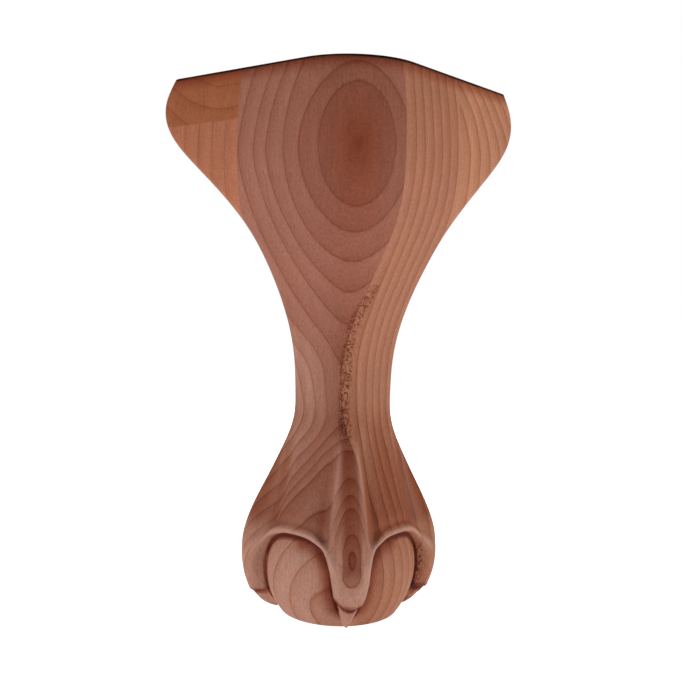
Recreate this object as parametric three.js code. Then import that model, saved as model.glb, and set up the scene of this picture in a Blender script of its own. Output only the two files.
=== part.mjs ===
// Claw and ball foot: a short carved cabriole leg with two wings, cut from one glued-up wooden blank.
// Millimetres, +Z up. The origin is on the floor under the middle of the ball, and the front corner
// of the leg, with its front claw, faces -Y. The leg is the same on both sides of the YZ plane.
import * as THREE from "three";

// Overall height
const height = 203.2;

// Ball held by the claws. The floor cuts its lowest part off, which leaves the flat it stands on
const ballRadius = 29;
const ballCentreZ = 18.5;

// Elevation of a leg face: how far the front face stands out from the leg's axis
const ankleZ = 86;
const ankleFront = 15.2;
const kneeBelowTop = 31.2;
const kneeFront = 37.3;
const topFront = 34.8;

// Elevation of a leg face: how far the back line and the wing's tip reach from the axis
const ankleBack = 14.7;
const wingTipBelowTop = 11.2;
const wingTipReach = 67.8;
const wingTopReach = 63;
const wingShoulderBelowTop = 33.2;
const wingShoulderReach = 50.6;

// Plan of the top: a square post in the corner, and two wings of one thickness
const postBack = 26;
const wingBackPlane = 13;

// Plan radii of the corners, each at the ankle and at the top
const frontCorner = { ankle: 10.5, top: 27 };
const sideCorner = { ankle: 12.6, top: 5 };
const wingBackCorner = { ankle: 3, top: 2 };
const innerCorner = { ankle: 3, top: 4 };
const rearCorner = { ankle: 11, top: 3 };

// Claws: four toes with a talon, a quarter turn apart
const toeCount = 4;
const talonTipRadius = 24.5;
const talonContactZ = 1.2;
const knuckleRadius = 37.7;
const knuckleZ = 23;
const shoulderAzimuth = 12.3;
const shoulderZ = 20;
const toeWaistAzimuth = 14.5;
const toeRootAzimuth = 9;
const toeRootZ = 64;

// Web between the toes: the carved skin whose arched lip stands over the ball
const archTopZ = 32;
const lipStandOff = 3.2;
const lipWidth = 3.6;
const talonLipShare = 0.13;
const ankleToeRadius = 16.6;
const ankleWebRadius = 15.4;
const webUpperZ = 60;

// How many facets the surface has
const toeHalfSteps = 16;
const ballRings = 7;
const lipRings = 3;
const hoodRings = 15;
const blendRings = 4;
const legRings = 16;

const DEGREE = Math.PI / 180;
const ringPoints = 2 * toeCount * toeHalfSteps;
const kneeZ = height - kneeBelowTop;
const wingTipZ = height - wingTipBelowTop;
const wingShoulderZ = height - wingShoulderBelowTop;

const mix = (from, to, share) => from + (to - from) * share;
const clamp01 = (value) => Math.min(1, Math.max(0, value));
const smooth = (from, to, value) => {
  const t = clamp01((value - from) / (to - from));
  return t * t * (3 - 2 * t);
};

// A cubic through points given as [reach, z].
const cubic = (...points) => new THREE.CubicBezierCurve(...points.map(([x, y]) => new THREE.Vector2(x, y)));

// The reach at a height, read from curves that climb one after another. Each is sampled only once.
function climbing(...curves) {
  const points = curves.flatMap((curve) => curve.getPoints(160));
  return (z) => {
    let low = 0;
    let high = points.length - 1;
    while (high - low > 1) {
      const middle = (low + high) >> 1;
      if (points[middle].y <= z) low = middle;
      else high = middle;
    }
    const rise = points[high].y - points[low].y;
    return mix(points[low].x, points[high].x, clamp01(rise > 0 ? (z - points[low].y) / rise : 0));
  };
}

// Front line of the cabriole: ankle, knee, and the slight fall back to the top edge.
const frontReach = climbing(
  cubic([ankleFront, ankleZ], [ankleFront, ankleZ + 38], [kneeFront, kneeZ - 38], [kneeFront, kneeZ]),
  cubic([kneeFront, kneeZ], [kneeFront, kneeZ + 11], [topFront + 1.4, height - 9], [topFront, height]),
);

// Back line: up the ankle, out along the hollow under the wing, and round the wing's tip.
const backReach = climbing(
  cubic(
    [ankleBack, ankleZ],
    [ankleBack + 0.4, ankleZ + 50],
    [wingShoulderReach - 29.5, wingShoulderZ - 22],
    [wingShoulderReach, wingShoulderZ],
  ),
  cubic(
    [wingShoulderReach, wingShoulderZ],
    [wingShoulderReach + 7.4, wingShoulderZ + 6],
    [wingTipReach, wingTipZ - 9],
    [wingTipReach, wingTipZ],
  ),
  cubic([wingTipReach, wingTipZ], [wingTipReach, wingTipZ + 5], [wingTopReach + 3.5, height - 2.7], [wingTopReach, height]),
);

// Ridge of a toe, from the talon's tip over the knuckle to the ankle.
const toeReach = climbing(
  cubic([talonTipRadius, 0], [talonTipRadius + 7.5, 0.2], [knuckleRadius, knuckleZ - 13], [knuckleRadius, knuckleZ]),
  cubic([knuckleRadius, knuckleZ], [knuckleRadius + 0.6, knuckleZ + 18], [18.6, ankleZ - 29], [ankleToeRadius, ankleZ]),
);

// How far the ball, or a skin over the ball, stands out from the axis at a height.
const ballRadiusAt = (z, skin = 0) => Math.sqrt(Math.max(0, (ballRadius + skin) ** 2 - (z - ballCentreZ) ** 2));

const webLipZ = archTopZ + lipWidth;
const webLipRadius = ballRadiusAt(webLipZ, lipStandOff);

// Middle of the web, from its lip over the ball to the ankle.
const webReach = climbing(
  cubic(
    [webLipRadius, webLipZ],
    [webLipRadius - 4.5, webLipZ + 12],
    [ankleWebRadius + 0.6, ankleZ - 26],
    [ankleWebRadius, ankleZ],
  ),
);

// Where the carved claws end on the ball, as [azimuth from the toe in degrees, z]: up the talon's
// side to the toe's shoulder, and then along the arch between two toes.
const archAzimuth = 180 / toeCount;
const talonSide = cubic([0, talonContactZ], [4.6, talonContactZ + 1.2], [9.8, 10], [shoulderAzimuth, shoulderZ]);
const arch = cubic([shoulderAzimuth, shoulderZ], [14.4, 28.6], [22, archTopZ], [archAzimuth, archTopZ]);
const clawEdge = new THREE.CurvePath();
clawEdge.add(talonSide);
clawEdge.add(arch);
const talonSpread = climbing(talonSide);

// Radius of the hood, which is the toes and the webs as one skin, at an azimuth from a toe.
function hoodRadius(azimuth, z) {
  const ridge = toeReach(z);
  const standOff = lipStandOff * smooth(0, shoulderZ, z);
  const web = z < webLipZ ? ballRadiusAt(z, standOff) : webReach(z);
  const waist = mix(talonSpread(z), toeWaistAzimuth, smooth(shoulderZ - 4, archTopZ, z));
  const spread = mix(waist, toeRootAzimuth, smooth(webLipZ, toeRootZ, z));
  const across = clamp01(Math.abs(azimuth) / Math.max(spread, 0.001));
  const steepness = mix(0.55, 1.7, smooth(shoulderZ - 4, webLipZ, z));
  const toe = (1 - across ** 2.4) ** steepness;
  const corner = Math.cos((azimuth * Math.PI) / (2 * archAzimuth)) ** 2;
  return mix(web, ridge, mix(toe, corner, smooth(webLipZ, toeRootZ + 4, z)));
}

const fromAxis = (radius, azimuth, z) =>
  new THREE.Vector3(radius * Math.sin(azimuth * DEGREE), -radius * Math.cos(azimuth * DEGREE), z);

// Which toe a point of a ring belongs to, and how far it is from that toe, from -1 to 1.
function toeOf(index) {
  const toe = Math.round(index / (2 * toeHalfSteps));
  return { azimuth: (toe * 360) / toeCount, side: index / toeHalfSteps - 2 * toe };
}

// A point on the claws' edge, moved towards the hood by the lip's width if asked.
function edgeAt(side, outer) {
  const along = Math.abs(side);
  const point = clawEdge.getPoint(along);
  const rise = outer ? lipWidth * smooth(0.42, 0.85, along) : 0;
  const narrowing = outer ? 1 - talonLipShare * (1 - smooth(0.5, 1, along)) : 1;
  const tip = outer ? 1 - smooth(0, 0.3, along) : 0;
  return { azimuth: point.x * narrowing * Math.sign(side || 1), z: mix(point.y, 0, tip * 0.99) + rise };
}

// One closed ring of points, made by a function of the ring's index.
const ring = (pointOf) => Array.from({ length: ringPoints }, (_, index) => pointOf(index));

// Rings over the ball, from the flat it stands on to the claws' edge.
function ballRing(share) {
  return ring((index) => {
    const { azimuth, side } = toeOf(index);
    const edge = edgeAt(side, false);
    const local = mix((side * 180) / toeCount, edge.azimuth, share);
    const z = mix(0, edge.z, share);
    return fromAxis(ballRadiusAt(z), azimuth + local, z);
  });
}

// Rings up the rounded lip, from the ball to the hood's own surface.
function lipRing(share) {
  return ring((index) => {
    const { azimuth, side } = toeOf(index);
    const inner = edgeAt(side, false);
    const outer = edgeAt(side, true);
    const rounded = Math.sqrt(1 - (1 - share) ** 2);
    const local = mix(inner.azimuth, outer.azimuth, share);
    const radius = mix(ballRadiusAt(inner.z), hoodRadius(outer.azimuth, outer.z), rounded);
    return fromAxis(radius, azimuth + local, mix(inner.z, outer.z, share));
  });
}

// A point of the hood on the straight way from its lip to the ankle.
function hoodPoint(index, share, topZ) {
  const { azimuth, side } = toeOf(index);
  const outer = edgeAt(side, true);
  const local = mix(outer.azimuth, (side * 180) / toeCount, share);
  const z = mix(outer.z, topZ, share);
  return fromAxis(hoodRadius(local, z), azimuth + local, z);
}

// Plan of the leg at a height, as corners [a, b, radius]. Axis a points out of the left face and b
// out of the right face; the half given runs from the front corner round the left side to the rear.
function planCorners(z) {
  const front = frontReach(z);
  const back = backReach(z);
  const post = Math.min(back, postBack);
  const climb = smooth(ankleZ, kneeZ, z);
  const grown = smooth(postBack, postBack + 10, back);
  const radius = (corner) => mix(corner.ankle, corner.top, climb);
  const wingBack = mix(mix(-post, front, 0.42), wingBackPlane, smooth(ankleZ, height - 60, z));
  const splay = mix(3, 0, grown);
  return [
    { a: front, b: front, radius: radius(frontCorner) },
    { a: front, b: -back, radius: radius(sideCorner) },
    { a: wingBack + splay, b: -back, radius: radius(wingBackCorner) },
    { a: wingBack - splay, b: -post, radius: radius(innerCorner) },
    { a: -post, b: -post, radius: radius(rearCorner) },
  ];
}

// Steps on each stretch of half a ring: arcs at the corners, and the straights between them.
const cornerSteps = [10, 8, 5, 4, 4];
const straightSteps = [16, 6, 6, 5];

const planVector = ({ a, b }) => new THREE.Vector2((b - a) / Math.SQRT2, -(a + b) / Math.SQRT2);

// Half of the leg's outline at a height, from the front corner to the rear corner.
function halfPlan(z) {
  const corners = planCorners(z);
  const mirrored = corners.map(({ a, b, radius }) => ({ a: b, b: a, radius }));
  const chain = [mirrored[1], ...corners, mirrored[3]];
  const vectors = chain.map(planVector);
  const outline = [];
  for (let n = 1; n < chain.length - 1; n++) {
    const [before, corner, after] = [vectors[n - 1], vectors[n], vectors[n + 1]];
    const room = 0.45 * Math.min(before.distanceTo(corner), after.distanceTo(corner));
    const setback = Math.min(chain[n].radius, room);
    const start = corner.clone().lerp(before, setback / corner.distanceTo(before));
    const end = corner.clone().lerp(after, setback / corner.distanceTo(after));
    const pull = 0.5523;
    const arc = new THREE.CubicBezierCurve(start, start.clone().lerp(corner, pull), end.clone().lerp(corner, pull), end);
    const isEnd = n === 1 || n === chain.length - 2;
    const steps = cornerSteps[n - 1];
    // The first and the last corner lie on the plane of symmetry, so half of each arc is used.
    for (let step = 0; step <= steps; step++) {
      const t = isEnd ? (n === 1 ? 0.5 + (0.5 * step) / steps : (0.5 * step) / steps) : step / steps;
      outline.push(arc.getPoint(t));
    }
  }
  // Straights are split evenly between the end of one arc and the start of the next.
  const half = [];
  let at = 0;
  cornerSteps.forEach((steps, n) => {
    half.push(...outline.slice(at, at + steps + 1));
    at += steps + 1;
    if (n === straightSteps.length) return;
    const [from, to] = [outline[at - 1], outline[at]];
    for (let step = 1; step < straightSteps[n]; step++) half.push(from.clone().lerp(to, step / straightSteps[n]));
  });
  return half;
}

// The whole outline at a height. Ring points run the other way from the half outline, by +X first.
function planRing(z) {
  const half = halfPlan(z);
  const last = half.length - 1;
  return ring((index) => {
    const onRight = index <= last;
    const point = half[onRight ? index : ringPoints - index];
    return new THREE.Vector3(onRight ? -point.x : point.x, point.y, z);
  });
}

// All the rings of the skin, from the floor to the top.
function skinRings() {
  const rings = [];
  for (let n = 0; n < ballRings; n++) rings.push(ballRing(n / ballRings));
  for (let n = 0; n < lipRings; n++) rings.push(lipRing(n / lipRings));
  for (let n = 0; n < hoodRings; n++) {
    rings.push(ring((index) => hoodPoint(index, (n / hoodRings) ** 1.4, webUpperZ)));
  }
  for (let n = 0; n < blendRings; n++) {
    const z = mix(webUpperZ, ankleZ, n / blendRings);
    const carved = ring((index) => hoodPoint(index, 1, z));
    const sawn = planRing(ankleZ);
    rings.push(carved.map((point, index) => point.lerp(sawn[index].clone().setZ(z), smooth(0, 1, n / blendRings))));
  }
  for (let n = 0; n <= legRings; n++) rings.push(planRing(mix(ankleZ, height, n / legRings)));
  return rings;
}

// A closed skin over the rings, with a flat at each end.
function closedSkin(rings) {
  const positions = rings.flat().flatMap((point) => point.toArray());
  const faces = [];
  rings.slice(1).forEach((_, row) => {
    for (let index = 0; index < ringPoints; index++) {
      const next = (index + 1) % ringPoints;
      const [a, b] = [row * ringPoints + index, row * ringPoints + next];
      const [c, d] = [a + ringPoints, b + ringPoints];
      faces.push(a, b, d, a, d, c);
    }
  });
  const flat = (points) => THREE.ShapeUtils.triangulateShape(points.map(({ x, y }) => new THREE.Vector2(x, y)), []);
  const top = (rings.length - 1) * ringPoints;
  flat(rings[0]).forEach(([a, b, c]) => faces.push(c, b, a));
  flat(rings[rings.length - 1]).forEach(([a, b, c]) => faces.push(top + a, top + b, top + c));
  const geometry = new THREE.BufferGeometry();
  geometry.setAttribute("position", new THREE.Float32BufferAttribute(positions, 3));
  geometry.setIndex(faces);
  geometry.computeVertexNormals();
  return geometry;
}

const cherry = new THREE.MeshStandardMaterial({ name: "carved_cherry", color: 0xa9735c, roughness: 0.6, metalness: 0 });

const clawFoot = new THREE.Mesh(closedSkin(skinRings()), cherry);
clawFoot.name = "claw_and_ball_foot";

const group = new THREE.Group();
group.add(clawFoot);

export default group;
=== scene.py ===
"""Claw and ball foot, carved from a glued-up blank of bare cherry: its carving, wood, light and camera.

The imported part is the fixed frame. The carved leg is modelled over the frame's one solid and stands
for it. Sizes are in millimetres in this file and in metres in the scene.
"""

import math

import bmesh
import bpy
import numpy as np
from mathutils import Matrix, Vector


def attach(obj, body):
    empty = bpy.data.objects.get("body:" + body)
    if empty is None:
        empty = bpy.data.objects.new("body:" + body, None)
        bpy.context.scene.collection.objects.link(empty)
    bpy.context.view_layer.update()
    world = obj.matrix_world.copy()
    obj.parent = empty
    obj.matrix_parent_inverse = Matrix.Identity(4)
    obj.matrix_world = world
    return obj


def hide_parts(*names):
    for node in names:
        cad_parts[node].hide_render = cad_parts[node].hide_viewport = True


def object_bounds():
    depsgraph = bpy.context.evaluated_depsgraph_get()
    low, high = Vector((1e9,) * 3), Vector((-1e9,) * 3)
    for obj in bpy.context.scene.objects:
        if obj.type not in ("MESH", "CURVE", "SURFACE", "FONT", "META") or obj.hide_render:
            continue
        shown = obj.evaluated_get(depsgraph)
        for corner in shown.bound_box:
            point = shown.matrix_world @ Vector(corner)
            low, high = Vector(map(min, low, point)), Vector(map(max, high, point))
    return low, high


bl_info = {
    "name": "Claw and Ball Foot",
    "version": (1, 0, 0),
    "blender": (4, 5, 0),
    "location": "3D View > Sidebar > Claw Foot",
    "description": "Carves and finishes a claw and ball foot over its packed solid, and stages it",
    "category": "Object",
}

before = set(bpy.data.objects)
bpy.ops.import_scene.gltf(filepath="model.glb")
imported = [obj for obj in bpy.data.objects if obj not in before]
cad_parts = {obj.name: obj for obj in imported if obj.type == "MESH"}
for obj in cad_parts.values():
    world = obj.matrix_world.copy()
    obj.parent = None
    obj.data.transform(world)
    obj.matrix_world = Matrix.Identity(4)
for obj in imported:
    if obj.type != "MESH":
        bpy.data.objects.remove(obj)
CAD_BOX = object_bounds()
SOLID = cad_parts["claw_and_ball_foot"]

MM = 0.001

# Sizes that the part's source has too. The claws' edge is in degrees from the toe's middle and mm up
LEG_HEIGHT = 203.2
BALL_RADIUS = 29.0
BALL_CENTRE = (0, 0, 18.5)
TALON_SIDE = ((0.0, 1.2), (4.6, 2.4), (9.8, 10.0), (12.3, 20.0))
ARCH = ((12.3, 20.0), (14.4, 28.6), (22.0, 32.0), (45.0, 32.0))

# Growth rings on the knee, seen from the front as ovals with pointed ends round one place (x and z):
# half width, height below and above it, in mm, and the powers of width and height (2 for an ellipse)
KNEE_RING_PLACE = (-1.5, 172.0)
KNEE_RINGS = (
    (13.6, 21.7, 22.0, 2.0, 2.0),
    (20.2, 30.6, 29.0, 1.6, 1.9),
    (25.1, 40.6, 50.0, 1.7, 1.8),
    (31.2, 51.5, 62.0, 1.25, 1.65),
    (35.5, 63.0, 78.0, 1.05, 1.6),
    (41.0, 75.0, 100.0, 1.0, 1.55),
    (46.0, 86.0, 120.0, 1.0, 1.55),
    (52.0, 98.0, 140.0, 1.0, 1.55),
    (59.0, 112.0, 165.0, 1.0, 1.55),
)
# On the foot the same rings are sheets: where their dark lines lie, as depths along y in mm, front first
FOOT_RING_DEPTHS = (
    -39.3, -37.42, -36.5, -30.0, -24.5, -16.1, -6.4, -3.2, 0.0, 3.6, 7.6, 11.6, 15.6, 20.0, 30.0
)
FIRST_FOOT_RING = -3
# The foot's rings turn into the knee's between these two heights, in mm
RINGS_MEET = (78, 112)
# The first ring's half width, and how far it reaches below and above the heart, in mm
HEART_HALF_WIDTH = 13.6
HEART_BELOW, HEART_ABOVE = 27, 20

# Torn grain down the front ridge: the height and how far right of the middle, in mm
TORN_HEIGHTS = (66, 74, 81, 88, 96, 101, 107, 110.5, 114, 118, 121.6, 124.5)
TORN_PLACES = (-1.0, -1.3, -1.8, -1.2, -1.1, -0.5, 0.3, 1.5, 3.1, 5.1, 7.1, 7.9)

# Half width of a toe's flat back at each height, from the nail's end to the ankle, in mm
TOE_HEIGHTS = (10, 20, 24, 30, 34.5, 41, 47, 52.5, 61, 68)
TOE_HALF_WIDTHS = (5.2, 7.3, 6.9, 6.2, 6.0, 5.4, 4.7, 4.0, 2.8, 2.2)
# How far a toe's back stands from the leg's axis at each height, in mm
RIDGE_HEIGHTS = (30, 38, 47, 57, 67, 80)
RIDGE_REACHES = (36.8, 34.1, 29.7, 24.9, 20.0, 17.0)

# Glue planes, in mm: behind the front board, before each wing and between the left wing's blocks
FRONT_GLUE = 14.0
RIGHT_GLUE = -22.3
LEFT_GLUE = -23.0
UPPER_GLUE = 184.0
# The wings' blocks end above this height
WINGS_BOTTOM = 100.0
# How deeply each board's ring lines are drawn, as powers of the ring line's stain
INNER_LINES, RIGHT_LINES, FRONT_LINES, LEFT_LINES = 1.5, 1.6, 1.15, 0.8

# Late wood across one ring, as places from 0 to 1 and how dark each is
LATE_WOOD = (
    (0.0, 0.5), (0.03, 0.06), (0.25, 0.0), (0.75, 0.26), (0.92, 0.45), (0.96, 1.0), (0.99, 0.9), (1.0, 0.5)
)
# The crack across one curl of torn grain, in the same way
CURL_CRACK = ((0.0, 0.25), (0.3, 0.0), (0.5, 0.1), (0.72, 1.0), (0.9, 0.6), (1.0, 0.25))

# The numbers that the carving keeps at each vertex, for the material: among them painted shade in the cuts
# and hollows, and a painted highlight on the ridges
LAYERS = ("cut", "hollow", "painted_highlight", "ring", "heart", "sapwood", "line_depth", "torn")

# The photograph's frame: its side, the lens's focal length and the shift of its middle, in pixels
PICTURE = 682
FOCAL_PIXELS = 920
SHIFT_RIGHT = -4.16
SHIFT_UP = -59.93
# The camera's sensor, in mm
SENSOR = 36

# Soft lamps: name, place, what each is aimed at, and side, in mm
LAMPS = (
    ("left_lamp", (-530, -320, 60), (0, 0, 80), 200),
    ("right_lamp", (545, -300, 80), (0, 0, 80), 200),
    ("back_lamp", (0, 560, 300), (0, 0, 110), 300),
)
# The floor's half width in mm, how far it is lifted to white, and the light it gives the leg
FLOOR_REACH = 3000
FLOOR_LIFT = 0.5
FLOOR_GLOW = 0.42


def linear(hex_colour):
    """A written sRGB colour, such as "#a66a4d", as the linear RGBA that Blender's sockets take."""
    parts = [int(hex_colour[i : i + 2], 16) / 255 for i in (1, 3, 5)]
    return (*(p / 12.92 if p <= 0.04045 else ((p + 0.055) / 1.055) ** 2.4 for p in parts), 1.0)


def wood_colour(name, hex_colour, description):
    """A colour property with a default written in sRGB."""
    return bpy.props.FloatVectorProperty(
        name=name,
        description=description,
        subtype="COLOR",
        size=4,
        min=0,
        max=1,
        default=linear(hex_colour),
    )


def length(name, millimetres, description):
    """A length property with a default written in millimetres."""
    return bpy.props.FloatProperty(
        name=name, description=description, unit="LENGTH", precision=5, default=millimetres * MM
    )


def power(name, watts, description):
    """A lamp's power property."""
    return bpy.props.FloatProperty(name=name, description=description, unit="POWER", default=watts)


def angle(name, degrees, description):
    """An angle property with a default written in degrees."""
    return bpy.props.FloatProperty(
        name=name, description=description, subtype="ANGLE", default=math.radians(degrees)
    )


class ClawFootCarving(bpy.types.PropertyGroup):
    """Sizes of the carver's finer cuts."""

    nail_step: length("Nail step", 0.9, "How far the nail lies under the end of the toe")
    nail_height: length("Front nail height", 10.2, "Height of the middle of the front nail's upper line")
    side_nail_height: length("Other nails' height", 6.8, "The same for the other three nails")
    lip_roll: length("Lip roll", 0.9, "How far the web's lip swells over the ball")
    lip_valley: length("Lip valley", 0.45, "Depth of the hollow above the web's lip")
    ball_groove: length("Ball groove", 0.7, "Depth of the cut between the lip and the ball")
    toe_edge: length("Toe edge", 0.4, "How far the two edges of a toe's back stand up")
    toe_flute: length("Toe flute", 0.8, "Depth of the flute beside a toe's back")


class ClawFootWood(bpy.types.PropertyGroup):
    """Colours of the wood in the blank's boards, and of the painted shade and highlight laid over it."""

    heart: wood_colour("Knee heart", "#7b3b21", "Front board inside its first ring")
    front: wood_colour("Front board", "#986250", "Front board beyond its first ring")
    sapwood: wood_colour("Sapwood", "#ae7f6d", "Front board at the ball and the toes")
    inner: wood_colour("Inner board", "#a36c52", "Straight-grained board behind the front board")
    right_wing: wood_colour("Right wing", "#b27b5e", "Block glued on for the right wing")
    left_wing: wood_colour("Left wing", "#a7674b", "Lower block glued on for the left wing")
    left_wing_top: wood_colour("Left wing top", "#9a5939", "Upper block glued on for the left wing")
    ring_line: wood_colour("Ring line", "#e0cab8", "Late wood at the end of a ring, as a stain")
    # Painted shade in the hollows of the carving
    hollow: wood_colour("Hollows", "#debd9e", "Stain over the wood in the hollows of the carving")
    # Painted highlight on the ridges of the carving
    ridge: wood_colour("Ridges", "#c49a88", "Rubbed ridges of the carving")
    # Painted shade in and beside cuts; it also darkens the wood below the top edge
    shade: wood_colour("Cuts", "#7c341d", "Stain at the bottom of a cut and where the saw scorched")
    scorch: wood_colour("Scorch", "#140c0a", "Line that the saw burnt along the top edge")
    roughness: bpy.props.FloatProperty(
        name="Roughness",
        description="Of the bare sanded wood",
        subtype="FACTOR",
        min=0,
        max=1,
        default=0.65,
    )


class ClawFootStage(bpy.types.PropertyGroup):
    """Light and camera."""

    left_power: power("Left lamp", 2.15, "Low soft lamp at the left")
    right_power: power("Right lamp", 2.15, "Low soft lamp at the right")
    back_power: power("Back lamp", 2.0, "Soft lamp high behind")
    world_level: bpy.props.FloatProperty(
        name="Room light", description="Even light from all round", subtype="FACTOR", default=0.18
    )
    distance: length("Camera distance", 354.7, "From the leg's axis to the camera")
    height: length("Camera height", 124.8, "Above the floor")
    turn: angle("Camera turn", 7, "Round the leg from straight in front")
    roll: angle("Camera roll", 1.2, "Lean of the picture")


def cubic(points, count):
    """Points along a cubic, as an array."""
    t = np.linspace(0, 1, count)[:, None]
    p = [np.array(q) for q in points]
    return (1 - t) ** 3 * p[0] + 3 * t * (1 - t) ** 2 * p[1] + 3 * t**2 * (1 - t) * p[2] + t**3 * p[3]


def smooth(low, high, value):
    """0 below low, 1 above high, and an even slope between."""
    t = np.clip((value - low) / (high - low), 0, 1)
    return t * t * (3 - 2 * t)


def swell(value, centre, width):
    """A soft swelling, 1 at the centre."""
    return np.exp(-(((value - centre) / width) ** 2))


def toe_azimuth(points):
    """Angle from the nearest toe for each point, in degrees, from -45 to 45."""
    azimuth = np.degrees(np.arctan2(points[:, 0], -points[:, 1]))
    return (azimuth + 45) % 90 - 45


def on_front(points):
    """Whether each point is in the front quarter of the leg, round the front toe."""
    return -points[:, 1] > np.abs(points[:, 0])


def ball_distance(points):
    """How far each point stands off the ball, in mm."""
    return np.linalg.norm(points - BALL_CENTRE, axis=1) - BALL_RADIUS


def edge_distance(azimuth, z):
    """How far each point is from the claws' edge, in mm over the ball, and where along that edge.

    The place along the edge runs from 0 at the talon's tip to 1 at the top of the arch.
    """
    edge = np.vstack([cubic(TALON_SIDE, 40), cubic(ARCH, 60)])
    along = np.linspace(0, 1, len(edge))
    across = BALL_RADIUS * np.radians(np.abs(azimuth)[:, None] - edge[None, :, 0])
    distances = np.hypot(across, z[:, None] - edge[None, :, 1])
    nearest = distances.argmin(axis=1)
    return distances[np.arange(len(z)), nearest], along[nearest]


def mesh_points(mesh):
    """The mesh's vertices in mm, as an array."""
    flat = np.empty(len(mesh.vertices) * 3)
    mesh.vertices.foreach_get("co", flat)
    return flat.reshape(-1, 3) / MM


def mesh_normals(mesh):
    """The mesh's vertex normals, as an array."""
    flat = np.empty(len(mesh.vertices) * 3)
    mesh.vertex_normals.foreach_get("vector", flat)
    return flat.reshape(-1, 3)


def skin_without_ends():
    """The solid's skin as an open tube of quads: its flat top and bottom come back once it is smooth."""
    tube = bmesh.new()
    tube.from_mesh(SOLID.data)
    bmesh.ops.remove_doubles(tube, verts=tube.verts, dist=0.001 * MM)
    top = max(v.co.z for v in tube.verts)
    at_ends = {v for v in tube.verts if min(abs(v.co.z - top), abs(v.co.z)) < 0.01 * MM}
    bmesh.ops.delete(tube, geom=[f for f in tube.faces if at_ends.issuperset(f.verts)], context="FACES")
    bmesh.ops.join_triangles(
        tube, faces=tube.faces, angle_face_threshold=math.pi, angle_shape_threshold=math.pi
    )
    mesh = bpy.data.meshes.new("claw_foot_tube")
    tube.to_mesh(mesh)
    tube.free()
    return mesh


def smoothed(mesh, levels):
    """The same mesh, subdivided as a smooth surface."""
    holder = bpy.data.objects.new("claw_foot_smoothing", mesh)
    bpy.context.scene.collection.objects.link(holder)
    modifier = holder.modifiers.new("smooth", "SUBSURF")
    modifier.levels = levels
    modifier.render_levels = levels
    graph = bpy.context.evaluated_depsgraph_get()
    result = bpy.data.meshes.new_from_object(holder.evaluated_get(graph))
    bpy.data.objects.remove(holder)
    return result


def carve_lips(points, normals, carving):
    """Rolls the web's lip, hollows the web above it and cuts the ball free of the claws.

    Returns the moved points, the painted shade in the cut and on the ball beside it, how far the lip rolls,
    and where painted shade lies in the hollow above the lip.
    """
    azimuth = toe_azimuth(points)
    x, _, z = points.T
    distance, along = edge_distance(azimuth, z)
    from_ball = ball_distance(points)
    hood = smooth(0.3, 1.2, from_ball) * smooth(70, 60, z)
    on_arch = smooth(0.4, 0.55, along)
    fullness = 0.35 * smooth(0.1, 0.3, along) + 0.65 * on_arch
    roll = carving.lip_roll / MM * swell(distance, 1.7, 1.3) * fullness
    valley = carving.lip_valley / MM * swell(distance, 4.7, 1.6) * on_arch
    by_ball = smooth(1.0, 0.2, from_ball) * smooth(2, 8, z)
    groove = carving.ball_groove / MM * smooth(1.5, 0, distance) * by_ball
    moved = points + normals * ((roll - valley) * hood - groove)[:, None]
    # Painted shade in the cut: darkest under an arch, and below it on the right of the foot
    front = on_front(points)
    below_arch = np.where(x > 0, 0.8, np.where(front, 0.5, 0.3))
    dark = 1.5 * swell(distance, 0.3, 0.9) * by_ball * np.maximum(below_arch, smooth(0.36, 0.56, along))
    # Painted shade also falls on the ball beside the cut, most of all in the corners by the front toe
    corner = swell(distance, 1.6, 2.4) * smooth(32, 16, np.abs(azimuth)) * smooth(20, 27, z)
    beside = 0.45 * swell(distance, 0.8, 3.0) + 0.4 * corner
    dark = np.maximum(dark, beside * by_ball * front * smooth(46, 38, np.abs(azimuth)))
    # Where painted shade lies in the hollow above the lip
    above_lip = swell(distance, 6.0, 2.6) * on_arch * hood
    return moved, np.clip(dark, 0, 1), roll * hood, above_lip


def carve_toes(points, normals, carving):
    """Gives each toe's back two soft edges and a flute beside each. Returns also how far an edge stands, as
    the strength of a painted highlight along it, weaker on the other three toes.
    """
    across = np.hypot(points[:, 0], points[:, 1]) * np.radians(np.abs(toe_azimuth(points)))
    z = points[:, 2]
    half_width = np.interp(z, TOE_HEIGHTS, TOE_HALF_WIDTHS)
    strength = smooth(24, 34, z) * smooth(70, 58, z)
    edge = carving.toe_edge / MM * swell(across, half_width + 0.3, 1.0) * strength
    flute = carving.toe_flute / MM * swell(across, half_width + 3.4, 1.9) * strength
    return points + normals * (edge - flute)[:, None], edge * np.where(on_front(points), 1.0, 0.4)


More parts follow.
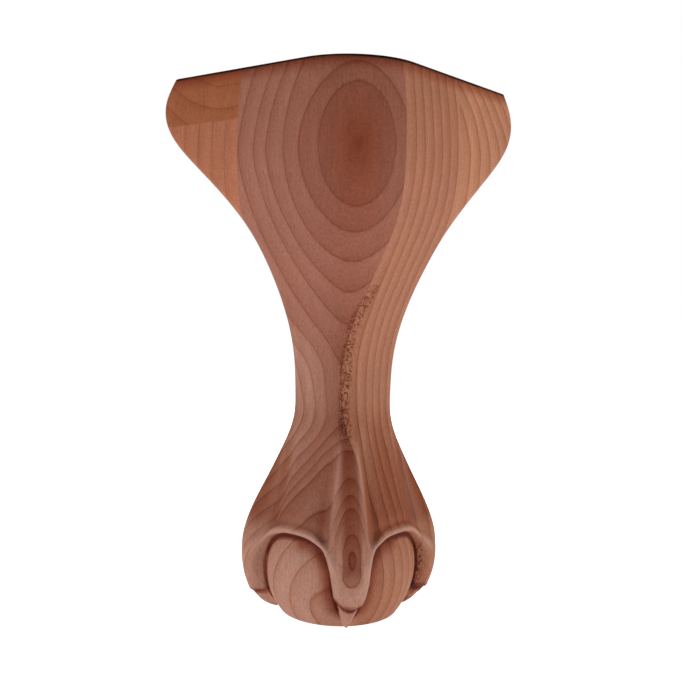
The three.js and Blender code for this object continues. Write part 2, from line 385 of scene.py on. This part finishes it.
def carve_nails(points, normals, carving):
    """Steps each nail in under the end of its toe, along a line that droops in the middle.

    Returns the moved points and the painted shadow under the step.
    """
    across = np.hypot(points[:, 0], points[:, 1]) * np.radians(toe_azimuth(points))
    front = on_front(points)
    line = np.where(front, carving.nail_height, carving.side_nail_height) / MM + 0.085 * across**2
    on_toe = smooth(0.4, 1.6, ball_distance(points)) * smooth(10, 8, np.abs(across))
    height = points[:, 2] - line
    # Vertices within reach of the line are drawn up to it along the surface, so that the step is crisp
    reach = 1.7
    near = np.abs(height) < reach
    pinched = np.where(near, height * (np.abs(height) / reach) ** 1.6, height)
    z_move = (pinched - height) * (on_toe > 0.05)
    lean = normals[:, 2:]
    slide = ((0, 0, 1) - normals * lean) / np.maximum(1 - lean**2, 0.15)
    below = smooth(0.1, -0.12, pinched) * on_toe * smooth(0.5, 4, points[:, 2])
    flesh = 0.2 * swell(pinched, 1.1, 0.9) * on_toe
    step = np.where(front, 1.0, 0.5) * carving.nail_step / MM
    moved = points + slide * z_move[:, None] + normals * (flesh - step * below)[:, None]
    # Painted shadow under the step, darker on the front nail
    width = 0.75 - 0.07 * np.clip(across, -5, 3)
    shade = 2.4 * swell(pinched, -0.5, width) * on_toe * smooth(5.6, 3.4, np.abs(across + 0.9))
    return moved, np.clip(shade * np.where(front, 1.0, 0.4), 0, 1)


def web_shade(points):
    """How much painted shade the webs, the left toe's front flank and the backs of the other three toes get,
    from 0 to 1.
    """
    x, y, z = points.T
    share = np.hypot(x, y) / np.interp(z, RIDGE_HEIGHTS, RIDGE_REACHES)
    webs = smooth(1.0, 0.74, share) * smooth(30, 38, z) * smooth(84, 60, z)
    # The webs' painted shade is deeper towards the right
    webs *= 0.12 + 0.3 * smooth(-16, -10, x) + 0.58 * smooth(-6, 12, x)
    left_side = 0.8 * smooth(-20.5, -24, x) * smooth(8, 0, y) * smooth(38, 46, z) * smooth(74, 62, z)
    backs = smooth(24, 12, np.abs(toe_azimuth(points))) * smooth(31, 37, z) * smooth(72, 52, z)
    return np.maximum(np.maximum(webs, left_side), backs * (-y < np.abs(x)))


def hollows(mesh, rounds=40):
    """How hollow the foot is at each vertex, from 0 to 1: how far it lies under the eased surface.

    In each round of easing a vertex moves halfway to the middle of its neighbours.
    """
    points = mesh_points(mesh)
    ends = np.empty(len(mesh.edges) * 2, dtype=int)
    mesh.edges.foreach_get("vertices", ends)
    one, other = ends.reshape(-1, 2).T
    count = len(points)
    neighbours = np.bincount(one, minlength=count) + np.bincount(other, minlength=count)
    eased = points.copy()
    for _ in range(rounds):
        for axis in range(3):
            along = eased[:, axis]
            total = np.bincount(one, along[other], count) + np.bincount(other, along[one], count)
            eased[:, axis] = 0.5 * along + 0.5 * total / neighbours
    depth = np.einsum("ij,ij->i", eased - points, mesh_normals(mesh))
    on_foot = smooth(84, 70, points[:, 2]) * smooth(29, 34, points[:, 2])
    return np.clip(depth / 0.5, 0, 1) * on_foot


def ring_numbers(points):
    """How many growth rings of the front board lie between its heart and each vertex."""
    x, y, z = points.T
    aside = x - KNEE_RING_PLACE[0]
    rise = z - KNEE_RING_PLACE[1]
    # How far each vertex is past each oval, below 0 inside it
    past = []
    for wide, below, above, across, upward in KNEE_RINGS:
        # A pointed end is rounded off a little
        tip = 3.2 * (2 - across)
        outward = ((np.hypot(aside, tip) - tip) / (wide - tip)) ** across
        past.append(outward + (np.abs(rise) / np.where(rise < 0, below, above)) ** upward - 1)
    on_knee = np.minimum(past[0], 0)
    for inner, outer in zip(past, past[1:]):
        on_knee += np.where(inner > 0, np.clip(inner / np.maximum(inner - outer, 1e-6), 0, 1), 0)
    on_knee += 6 * np.maximum(past[-1], 0)
    # They stand upright in the toe and lean forward in the webs behind it
    rise = z - 25
    rise = rise - smooth(35, 60, rise) * (rise - 45)
    tilt = 0.06 + 0.095 * smooth(-31, -35, y)
    depth = y - tilt * (z - 25) + 0.45 * rise * smooth(-34, -24, y)
    numbers = FIRST_FOOT_RING + np.arange(len(FOOT_RING_DEPTHS))
    on_foot = np.interp(depth, FOOT_RING_DEPTHS, numbers)
    share = smooth(*RINGS_MEET, z)
    return on_knee * share + on_foot * (1 - share)


def heart_share(points):
    """Where the front board is dark heartwood, from 0 to 1: in the knee, down the middle and in the toe."""
    x, y, z = points.T
    rise = z - KNEE_RING_PLACE[1]
    aside = (x - KNEE_RING_PLACE[0]) / HEART_HALF_WIDTH
    from_heart = np.hypot(aside, rise / np.where(rise < 0, HEART_BELOW, HEART_ABOVE))
    knee = smooth(2.2, -0.1, from_heart)
    middle = 0.35 * swell(x, -1.5, 9) + 0.2 * swell(x, -1.2, 3.5) * smooth(120, 98, z)
    middle *= smooth(62, 70, z) * smooth(200, 150, z)
    toe = 0.85 * smooth(4.6, 2.2, np.abs(x - 0.3)) * smooth(17, 25, z) * smooth(75, 62, z)
    return np.maximum(np.maximum(knee, middle), toe) * (y < 0)


def sapwood_share(points, rings):
    """Where the front board is paler sapwood, from 0 to 1: in the ball and toes, and in its outer rings."""
    outer = 0.7 * smooth(4.5, 7.5, rings) * smooth(120, 95, points[:, 2])
    return np.maximum(outer, smooth(40, 24, points[:, 2]))


def line_depths(points):
    """How deeply a ring's line is drawn, 1 on most of the leg and more on the toes and webs."""
    x, y, z = points.T
    webs = smooth(33, 38, z) * smooth(84, 66, z)
    toe = smooth(6.5, 4.5, np.abs(x - 0.3)) * smooth(14, 20, z) * smooth(84, 66, z) * (y < 0)
    return 1 + 0.9 * np.maximum(0.7 * webs, toe)


def torn_grain(points):
    """Where the cutter tore the grain, from 0 to 1: down the front ridge, and in the gap by the right toe."""
    x, y, z = points.T
    ridge = smooth(2.6, 1.3, np.abs(x - np.interp(z, TORN_HEIGHTS, TORN_PLACES))) * (y < 0)
    ridge *= smooth(65, 70, z) * smooth(126, 120, z)
    distance, _ = edge_distance(toe_azimuth(points), z)
    gap = smooth(3.2, 1.0, distance) * smooth(19, 22, x) * smooth(4, -1, y) * smooth(28, 24, z)
    return np.maximum(ridge, gap * smooth(3.4, 1.6, ball_distance(points)))


def close_ends(mesh):
    """Gives the tube its flat top and bottom, with the sharp edge a saw and a sanding block leave."""
    body = bmesh.new()
    body.from_mesh(mesh)
    rims = [e for e in body.edges if e.is_boundary]
    filled = bmesh.ops.holes_fill(body, edges=rims, sides=0)["faces"]
    bmesh.ops.triangulate(body, faces=filled)
    bmesh.ops.recalc_face_normals(body, faces=body.faces)
    body.to_mesh(mesh)
    body.free()


class OBJECT_OT_carve_claw_foot(bpy.types.Operator):
    """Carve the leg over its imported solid, with its lips, nails and tool marks"""

    bl_idname = "object.carve_claw_foot"
    bl_label = "Carve Claw Foot"
    bl_options = {"REGISTER", "UNDO"}

    def execute(self, context):
        carving = context.scene.claw_foot_carving
        mesh = smoothed(skin_without_ends(), levels=2)
        points = mesh_points(mesh)
        points, groove_shade, lip, above_lip = carve_lips(points, mesh_normals(mesh), carving)
        points, toe_edge = carve_toes(points, mesh_normals(mesh), carving)
        points, nail_shade = carve_nails(points, mesh_normals(mesh), carving)
        low, high = (np.array(corner) / MM for corner in CAD_BOX)
        points = np.clip(points, low, high)
        mesh.vertices.foreach_set("co", (points * MM).ravel())
        mesh.update()
        rings = ring_numbers(points)
        for name, values in zip(
            LAYERS,
            (
                # Painted shade in the cuts and a painted shadow under the nails' step
                np.maximum(groove_shade, nail_shade),
                # Painted shade in the hollows, the webs, on the toes' backs and above the lips
                np.clip(0.5 * hollows(mesh) + web_shade(points) + 0.3 * above_lip, 0, 1),
                # Painted highlight on the lips and the toes' edges
                np.clip(1.3 * lip**1.7 + 1.6 * toe_edge, 0, 1),
                rings,
                heart_share(points),
                sapwood_share(points, rings),
                line_depths(points),
                torn_grain(points),
            ),
        ):
            mesh.attributes.new(name, "FLOAT", "POINT").data.foreach_set("value", values)
        close_ends(mesh)
        mesh.name = "carved_leg"
        mesh.materials.clear()
        mesh.materials.append(sanded_cherry(context.scene.claw_foot_wood))
        mesh.shade_smooth()
        leg = bpy.data.objects.new("carved_leg", mesh)
        context.scene.collection.objects.link(leg)
        mesh.set_sharp_from_angle(angle=math.radians(50))
        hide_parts("claw_and_ball_foot")
        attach(leg, "root")
        return {"FINISHED"}


def add(tree, kind, inputs=None, output=0, **settings):
    """Adds a node with its settings, links or sets its inputs, and returns one of its outputs.

    A Mix node has its factor at 0, numbers at 2 and 3 and colours at 6 and 7, and gives a colour at
    output 2. Map Range turns the span from input 1 to 2 into the span from input 3 to 4.
    """
    new = tree.nodes.new(kind)
    for name, value in settings.items():
        setattr(new, name, value)
    for key, value in (inputs or {}).items():
        if isinstance(value, bpy.types.NodeSocket):
            tree.links.new(value, new.inputs[key])
        else:
            new.inputs[key].default_value = value
    return new.outputs[output] if len(new.outputs) else None


def set_ramp(socket, stops):
    """Gives the colour ramp behind an output its stops, each a place and a grey."""
    ramp = socket.node.color_ramp
    ramp.elements.remove(ramp.elements[-1])
    for number, (place, grey) in enumerate(stops):
        element = ramp.elements[0] if number == 0 else ramp.elements.new(place)
        element.position = place
        element.color = (grey, grey, grey, 1)
    return socket


def sanded_cherry(wood):
    """Bare cherry, sanded: reddish brown, fine-grained, with thin dark ring lines and a dull silky sheen."""
    material = bpy.data.materials.new("sanded_cherry")
    material.use_nodes = True
    tree = material.node_tree
    tree.nodes.clear()
    layers = {name: add(tree, "ShaderNodeAttribute", output="Fac", attribute_name=name) for name in LAYERS}
    place = add(tree, "ShaderNodeTexCoord", output="Object")
    # Millimetres, so that every size below is a real one
    in_mm = add(tree, "ShaderNodeMapping", {"Vector": place, "Scale": (1 / MM, 1 / MM, 1 / MM)})
    # Grain wanders by about a millimetre over a few centimetres, and half as fast along the board
    wander_at = add(tree, "ShaderNodeMapping", {"Vector": in_mm, "Scale": (1 / 26, 1 / 26, 1 / 60)})
    wander = add(
        tree, "ShaderNodeTexNoise", {"Vector": wander_at, "Scale": 1, "Detail": 2, "Roughness": 0.45}, "Color"
    )
    centred = add(tree, "ShaderNodeVectorMath", {0: wander, 1: (0.5, 0.5, 0.5)}, operation="SUBTRACT")
    shift = add(tree, "ShaderNodeVectorMath", {0: centred, "Scale": 4.0}, operation="SCALE")
    grain = add(tree, "ShaderNodeVectorMath", {0: in_mm, 1: shift}, operation="ADD")
    # Turned by 135 degrees, X runs out of the left face (a) and Y out of the right face (b), with z up
    turned = add(tree, "ShaderNodeMapping", {"Vector": in_mm, "Rotation": (0, 0, math.radians(135))})
    a, b, z = add(tree, "ShaderNodeSeparateXYZ", {0: turned}).node.outputs
    turned_grain = add(tree, "ShaderNodeMapping", {"Vector": grain, "Rotation": (0, 0, math.radians(135))})
    grain_a, grain_b, grain_z = add(tree, "ShaderNodeSeparateXYZ", {0: turned_grain}).node.outputs

    # The front board was sawn near the heart: its rings are the ovals of the ring layer
    # Inner board: rings straight up, 5.7 mm apart at the faces and closer towards the middle
    spacing = add(tree, "ShaderNodeMath", {0: b, 1: 0.065, 2: 3.3}, operation="MULTIPLY_ADD")
    spacing = add(tree, "ShaderNodeMath", {0: spacing, 1: 3.3}, operation="MAXIMUM")
    inner_rings = add(tree, "ShaderNodeMath", {0: 13.9, 1: grain_a}, operation="SUBTRACT")
    inner_rings = add(tree, "ShaderNodeMath", {0: inner_rings, 1: spacing}, operation="DIVIDE")
    # Right wing's block: rings 7.9 mm apart that lean inward more and more towards the top
    climb = add(tree, "ShaderNodeMapRange", {0: grain_z, 1: 172, 2: 212, 3: 0, 4: 40})
    arched = add(tree, "ShaderNodeMath", {0: climb, 1: 2}, operation="POWER")
    leaned = add(tree, "ShaderNodeMath", {0: arched, 1: 1 / 60, 2: 2.3}, operation="MULTIPLY_ADD")
    leaned = add(tree, "ShaderNodeMath", {0: leaned, 1: grain_a}, operation="SUBTRACT")
    right_rings = add(tree, "ShaderNodeMath", {0: leaned, 1: 7.9}, operation="DIVIDE")
    # Left wing's lower block: rings straight up, 7.6 mm apart
    left_rings = add(tree, "ShaderNodeMath", {0: grain_b, 1: -1 / 7.6, 2: 0.18}, operation="MULTIPLY_ADD")
    # Its upper block lies on its side, so that its rings are level waves 9 mm apart
    along = add(tree, "ShaderNodeMath", {0: b, 1: 28}, operation="ADD")
    dip = add(tree, "ShaderNodeMath", {0: along, 1: along}, operation="MULTIPLY")
    dipped = add(tree, "ShaderNodeMath", {0: dip, 1: -1 / 95, 2: grain_z}, operation="MULTIPLY_ADD")
    top_rings = add(tree, "ShaderNodeMath", {0: dipped, 1: 1 / 9, 2: -20}, operation="MULTIPLY_ADD")
    # Sawn top: rings in end grain, as wide arcs 3.6 mm apart
    end_at = add(tree, "ShaderNodeMapping", {"Vector": grain, "Location": (0, -70, 0), "Scale": (1, 1, 0)})
    end_rings = add(tree, "ShaderNodeVectorMath", {0: end_at}, 1, operation="LENGTH")
    end_rings = add(tree, "ShaderNodeMath", {0: end_rings, 1: 3.6}, operation="DIVIDE")

    # Which board a place is in
    in_front = add(tree, "ShaderNodeMath", {0: a, 1: FRONT_GLUE}, operation="GREATER_THAN")
    in_right = add(tree, "ShaderNodeMath", {0: a, 1: RIGHT_GLUE}, operation="LESS_THAN")
    in_left = add(tree, "ShaderNodeMath", {0: b, 1: LEFT_GLUE}, operation="LESS_THAN")
    in_top = add(tree, "ShaderNodeMath", {0: z, 1: UPPER_GLUE}, operation="GREATER_THAN")
    above_foot = add(tree, "ShaderNodeMath", {0: z, 1: WINGS_BOTTOM}, operation="GREATER_THAN")
    in_right = add(tree, "ShaderNodeMath", {0: in_right, 1: above_foot}, operation="MULTIPLY")
    in_left = add(tree, "ShaderNodeMath", {0: in_left, 1: above_foot}, operation="MULTIPLY")
    at_end = add(tree, "ShaderNodeMath", {0: z, 1: LEG_HEIGHT - 0.1}, operation="GREATER_THAN")
    # The right wing's tone sets in gradually, so that no step of tone shows at its glue line
    towards_right = add(
        tree,
        "ShaderNodeMapRange",
        {0: a, 1: RIGHT_GLUE + 9.3, 2: RIGHT_GLUE - 8.7, 3: 0, 4: 1},
        interpolation_type="SMOOTHSTEP",
    )
    towards_right = add(tree, "ShaderNodeMath", {0: towards_right, 1: above_foot}, operation="MULTIPLY")

    front_tone = wood.front
    for within, of_tone in ((layers["sapwood"], wood.sapwood), (layers["heart"], wood.heart)):
        front_tone = add(tree, "ShaderNodeMix", {0: within, 6: front_tone, 7: of_tone}, 2, data_type="RGBA")
    left_tones = {0: in_top, 6: wood.left_wing, 7: wood.left_wing_top}
    left_tone = add(tree, "ShaderNodeMix", left_tones, 2, data_type="RGBA")
    left_all = add(tree, "ShaderNodeMix", {0: in_top, 2: left_rings, 3: top_rings}, data_type="FLOAT")
    rings = inner_rings
    tone = wood.inner
    depth = INNER_LINES
    for within, tinted, of_rings, of_tone, of_depth in (
        (in_right, towards_right, right_rings, wood.right_wing, RIGHT_LINES),
        (in_front, in_front, layers["ring"], front_tone, FRONT_LINES),
        (in_left, in_left, left_all, left_tone, LEFT_LINES),
    ):
        rings = add(tree, "ShaderNodeMix", {0: within, 2: rings, 3: of_rings}, data_type="FLOAT")
        tone = add(tree, "ShaderNodeMix", {0: tinted, 6: tone, 7: of_tone}, 2, data_type="RGBA")
        depth = add(tree, "ShaderNodeMix", {0: within, 2: depth, 3: of_depth}, data_type="FLOAT")
    rings = add(tree, "ShaderNodeMix", {0: at_end, 2: rings, 3: end_rings}, data_type="FLOAT")

    # Each ring darkens slowly and ends in a thin dark line of late wood
    within_ring = add(tree, "ShaderNodeMath", {0: rings}, operation="FRACT")
    late = set_ramp(add(tree, "ShaderNodeValToRGB", {0: within_ring}), LATE_WOOD)
    # Lines are drawn at each board's own depth, and deeper on the toes and webs. A stain raised to a
    # power grows redder as it grows darker, as wood does
    depth = add(tree, "ShaderNodeMath", {0: depth, 1: layers["line_depth"]}, operation="MULTIPLY")
    late_part = add(tree, "ShaderNodeMath", {0: late, 1: depth}, operation="MULTIPLY")
    line = add(tree, "ShaderNodeGamma", {"Color": wood.ring_line, "Gamma": late_part})
    colour = add(tree, "ShaderNodeMix", {0: 1, 6: tone, 7: line}, 2, data_type="RGBA", blend_type="MULTIPLY")

    # Fibres: streaks about 0.5 mm wide and 15 mm long, and broader ones of 3 mm by 60 mm
    fibre_at = add(tree, "ShaderNodeMapping", {"Vector": in_mm, "Scale": (1.6, 1.6, 1 / 16)})
    fibre = add(tree, "ShaderNodeTexNoise", {"Vector": fibre_at, "Scale": 1, "Detail": 3, "Roughness": 0.6})
    streak_at = add(tree, "ShaderNodeMapping", {"Vector": grain, "Scale": (1 / 3, 1 / 3, 1 / 60)})
    streak = add(tree, "ShaderNodeTexNoise", {"Vector": streak_at, "Scale": 1, "Detail": 2})
    cloud_at = add(tree, "ShaderNodeMapping", {"Vector": in_mm, "Scale": (1 / 22, 1 / 22, 1 / 30)})
    cloud = add(tree, "ShaderNodeTexNoise", {"Vector": cloud_at, "Scale": 1, "Detail": 3})
    # Sanding leaves a speckle of open pores and ray flecks. At their real 0.1 mm they are too fine to
    # show, so they are drawn coarser, up to 0.6 mm across
    speckle_at = add(tree, "ShaderNodeMapping", {"Vector": in_mm, "Scale": (1.6, 1.6, 1.1)})
    speckles = {"Vector": speckle_at, "Scale": 1, "Detail": 3, "Roughness": 0.7}
    speckle = add(tree, "ShaderNodeTexNoise", speckles)
    level = 0.0
    for pattern, share in ((fibre, 0.6), (streak, 0.2), (cloud, 0.24), (speckle, 1.0)):
        level = add(tree, "ShaderNodeMath", {0: pattern, 1: share, 2: level}, operation="MULTIPLY_ADD")
    shaded = add(tree, "ShaderNodeVectorMath", {0: colour, "Scale": level}, operation="SCALE")
    # Painted shade makes the hollows of the carving redder and darker, and a painted highlight makes its
    # ridges paler
    stained = {0: layers["hollow"], 6: shaded, 7: wood.hollow}
    shaded = add(tree, "ShaderNodeMix", stained, 2, data_type="RGBA", blend_type="MULTIPLY")
    painted_highlight = add(tree, "ShaderNodeMath", {0: layers["painted_highlight"], 1: 0.45}, operation="MULTIPLY")
    shaded = add(tree, "ShaderNodeMix", {0: painted_highlight, 6: shaded, 7: wood.ridge}, 2, data_type="RGBA")
    # Torn grain: lifted curls of wood about a millimetre wide, with a broken dark crack along each
    curl_at = add(
        tree, "ShaderNodeMapping", {"Vector": in_mm, "Rotation": (0.3, 0.2, 0.4), "Scale": (0.5, 0.5, 0.36)}
    )
    curl = add(tree, "ShaderNodeTexNoise", {"Vector": curl_at, "Scale": 1, "Detail": 0})
    curl = add(tree, "ShaderNodeMath", {0: curl, 1: 5.5}, operation="MULTIPLY")
    curl = add(tree, "ShaderNodeMath", {0: curl}, operation="FRACT")
    crack = set_ramp(add(tree, "ShaderNodeValToRGB", {0: curl}), CURL_CRACK)
    breaks = add(tree, "ShaderNodeTexNoise", {"Vector": in_mm, "Scale": 1.0, "Detail": 0})
    kept = {0: breaks, 1: 0.36, 2: 0.56, 3: 0.3, 4: 1}
    kept = add(tree, "ShaderNodeMapRange", kept, interpolation_type="SMOOTHSTEP")
    crack = add(tree, "ShaderNodeMath", {0: crack, 1: kept}, operation="MULTIPLY")
    pits = add(tree, "ShaderNodeMath", {0: crack, 1: layers["torn"]}, operation="MULTIPLY")
    # The cross-cut saw burnt a dark line along the top edge, up to a millimetre wide
    below_top = add(tree, "ShaderNodeMath", {0: z, 1: LEG_HEIGHT - 0.05}, operation="LESS_THAN")
    burnt = add(tree, "ShaderNodeMath", {0: cloud, 1: 1.2, 2: z}, operation="MULTIPLY_ADD")
    burnt = {0: burnt, 1: LEG_HEIGHT - 0.3, 2: LEG_HEIGHT + 0.1, 3: 0, 4: 1}
    burnt = add(tree, "ShaderNodeMapRange", burnt, interpolation_type="SMOOTHSTEP")
    burnt = add(tree, "ShaderNodeMath", {0: burnt, 1: below_top}, operation="MULTIPLY")
    # Under that line the wood darkens towards the top edge over 5 mm
    top_darkening = {0: z, 1: LEG_HEIGHT - 6.4, 2: LEG_HEIGHT + 1.3, 3: 0, 4: 0.38}
    top_darkening = add(tree, "ShaderNodeMapRange", top_darkening, interpolation_type="SMOOTHSTEP")
    top_darkening = add(tree, "ShaderNodeMath", {0: top_darkening, 1: below_top}, operation="MULTIPLY")
    # Painted shade darkens the bottoms of cuts and the ball beside them, and the torn cracks add to the
    # darkening
    dark = add(tree, "ShaderNodeMath", {0: pits, 1: 0.46, 2: layers["cut"]}, operation="MULTIPLY_ADD")
    dark = add(tree, "ShaderNodeMath", {0: dark, 1: top_darkening}, operation="ADD", use_clamp=True)
    shade = add(tree, "ShaderNodeGamma", {"Color": wood.shade, "Gamma": dark})
    deep = add(tree, "ShaderNodeMix", {0: 1, 6: shaded, 7: shade}, 2, data_type="RGBA", blend_type="MULTIPLY")
    deep = add(tree, "ShaderNodeMix", {0: burnt, 6: deep, 7: wood.scorch}, 2, data_type="RGBA")

    # Fibres and pores make a relief of about 0.2 mm, and torn cracks a deeper one. Bare wood has no
    # gloss coat, only a dull sheen
    relief = add(tree, "ShaderNodeMath", {0: speckle, 1: 0.4, 2: fibre}, operation="MULTIPLY_ADD")
    relief = add(tree, "ShaderNodeMath", {0: pits, 1: -9.0, 2: relief}, operation="MULTIPLY_ADD")
    bumped = add(tree, "ShaderNodeBump", {"Height": relief, "Strength": 0.6, "Distance": 0.2 * MM})
    sheen = add(tree, "ShaderNodeMath", {0: fibre, 1: 0.2, 2: wood.roughness - 0.1}, operation="MULTIPLY_ADD")
    surface = add(
        tree,
        "ShaderNodeBsdfPrincipled",
        {"Base Color": deep, "Roughness": sheen, "Normal": bumped, "IOR": 1.45, "Specular IOR Level": 0.25},
    )
    add(tree, "ShaderNodeOutputMaterial", {"Surface": surface})
    return material


def seen_by(tree, first, *others):
    """1 for the named kinds of ray and 0 for the rest."""
    rays = add(tree, "ShaderNodeLightPath").node.outputs
    seen = rays[first]
    for name in others:
        seen = add(tree, "ShaderNodeMath", {0: seen, 1: rays[name]}, operation="MAXIMUM")
    return seen


def painted_board():
    """White painted board for the floor, lifted where the camera sees it so that it reads as white."""
    material = bpy.data.materials.new("white_board")
    material.use_nodes = True
    tree = material.node_tree
    tree.nodes.clear()
    seen = seen_by(tree, "Is Camera Ray", "Is Glossy Ray", "Is Transmission Ray")
    # The rest of the light that it throws up is a lit table's
    glow = add(tree, "ShaderNodeMath", {0: seen, 1: FLOOR_LIFT, 2: FLOOR_GLOW}, operation="MULTIPLY_ADD")
    paint = add(
        tree,
        "ShaderNodeBsdfPrincipled",
        {
            "Base Color": linear("#f4f4f4"),
            "Roughness": 0.9,
            "Specular IOR Level": 0.1,
            "Emission Color": (1, 1, 1, 1),
            "Emission Strength": glow,
        },
    )
    add(tree, "ShaderNodeOutputMaterial", {"Surface": paint})
    return material


def light_room(scene, level):
    """An even white room, which the camera sees as plain white."""
    world = bpy.data.worlds.new("studio")
    world.use_nodes = True
    tree = world.node_tree
    tree.nodes.clear()
    seen = seen_by(tree, "Is Camera Ray", "Is Transmission Ray")
    strength = add(tree, "ShaderNodeMix", {0: seen, 2: level, 3: 1.0}, data_type="FLOAT")
    sky = add(tree, "ShaderNodeBackground", {"Color": (1, 1, 1, 1), "Strength": strength})
    add(tree, "ShaderNodeOutputWorld", {"Surface": sky})
    scene.world = world


def hang_lamp(scene, name, place, target, size, watts):
    """A square soft lamp at a place in mm, aimed at a target."""
    lamp = bpy.data.lights.new(name, "AREA")
    lamp.shape = "SQUARE"
    lamp.size = size * MM
    lamp.energy = watts
    holder = bpy.data.objects.new(name, lamp)
    place, target = Vector(place) * MM, Vector(target) * MM
    turn = (target - place).to_track_quat("-Z", "Y").to_matrix().to_4x4()
    holder.matrix_world = Matrix.Translation(place) @ turn
    scene.collection.objects.link(holder)


def set_camera(scene, stage):
    """The photograph's view: near, a little to the left of the front corner, level and slightly rolled."""
    lens = bpy.data.cameras.new("photo_view")
    lens.sensor_width = SENSOR
    lens.lens = SENSOR * FOCAL_PIXELS / PICTURE
    lens.shift_x = SHIFT_RIGHT / PICTURE
    lens.shift_y = SHIFT_UP / PICTURE
    lens.clip_start = 10 * MM
    camera = bpy.data.objects.new("photo_view", lens)
    away = Vector((math.sin(stage.turn), math.cos(stage.turn), 0))
    right = Vector((math.cos(stage.turn), -math.sin(stage.turn), 0))
    up = Vector((0, 0, 1))
    leaned_right = right * math.cos(stage.roll) + up * math.sin(stage.roll)
    leaned_up = up * math.cos(stage.roll) - right * math.sin(stage.roll)
    turn = Matrix((leaned_right, leaned_up, -away)).transposed().to_4x4()
    camera.matrix_world = Matrix.Translation(-away * stage.distance + up * stage.height) @ turn
    scene.collection.objects.link(camera)
    scene.camera = camera


class OBJECT_OT_stage_claw_foot(bpy.types.Operator):
    """Set the white floor, the lamps and the camera"""

    bl_idname = "object.stage_claw_foot"
    bl_label = "Stage Claw Foot"
    bl_options = {"REGISTER", "UNDO"}

    def execute(self, context):
        scene = context.scene
        stage = scene.claw_foot_stage
        sheet = bmesh.new()
        bmesh.ops.create_grid(sheet, x_segments=8, y_segments=8, size=FLOOR_REACH * MM)
        mesh = bpy.data.meshes.new("floor")
        sheet.to_mesh(mesh)
        sheet.free()
        mesh.materials.append(painted_board())
        floor = bpy.data.objects.new("floor", mesh)
        scene.collection.objects.link(floor)
        light_room(scene, stage.world_level)
        for lamp, watts in zip(LAMPS, (stage.left_power, stage.right_power, stage.back_power)):
            hang_lamp(scene, *lamp, watts)
        set_camera(scene, stage)
        scene.view_settings.view_transform = "Standard"
        return {"FINISHED"}


class VIEW3D_PT_claw_foot(bpy.types.Panel):
    """Sidebar panel with the sizes, colours and steps"""

    bl_label = "Claw and Ball Foot"
    bl_idname = "VIEW3D_PT_claw_foot"
    bl_space_type = "VIEW_3D"
    bl_region_type = "UI"
    bl_category = "Claw Foot"

    def draw(self, context):
        for title, group, step in (
            ("Carving", context.scene.claw_foot_carving, OBJECT_OT_carve_claw_foot),
            ("Wood", context.scene.claw_foot_wood, None),
            ("Stage", context.scene.claw_foot_stage, OBJECT_OT_stage_claw_foot),
        ):
            box = self.layout.box()
            box.label(text=title)
            for name in group.__annotations__:
                box.prop(group, name)
            if step:
                box.operator(step.bl_idname)


CLASSES = (
    ClawFootCarving,
    ClawFootWood,
    ClawFootStage,
    OBJECT_OT_carve_claw_foot,
    OBJECT_OT_stage_claw_foot,
    VIEW3D_PT_claw_foot,
)


def register():
    for cls in CLASSES:
        bpy.utils.register_class(cls)
    bpy.types.Scene.claw_foot_carving = bpy.props.PointerProperty(type=ClawFootCarving)
    bpy.types.Scene.claw_foot_wood = bpy.props.PointerProperty(type=ClawFootWood)
    bpy.types.Scene.claw_foot_stage = bpy.props.PointerProperty(type=ClawFootStage)


def unregister():
    del bpy.types.Scene.claw_foot_stage
    del bpy.types.Scene.claw_foot_wood
    del bpy.types.Scene.claw_foot_carving
    for cls in reversed(CLASSES):
        bpy.utils.unregister_class(cls)


def main():
    register()
    bpy.ops.object.carve_claw_foot()
    bpy.ops.object.stage_claw_foot()


if __name__ == "__main__":
    main()
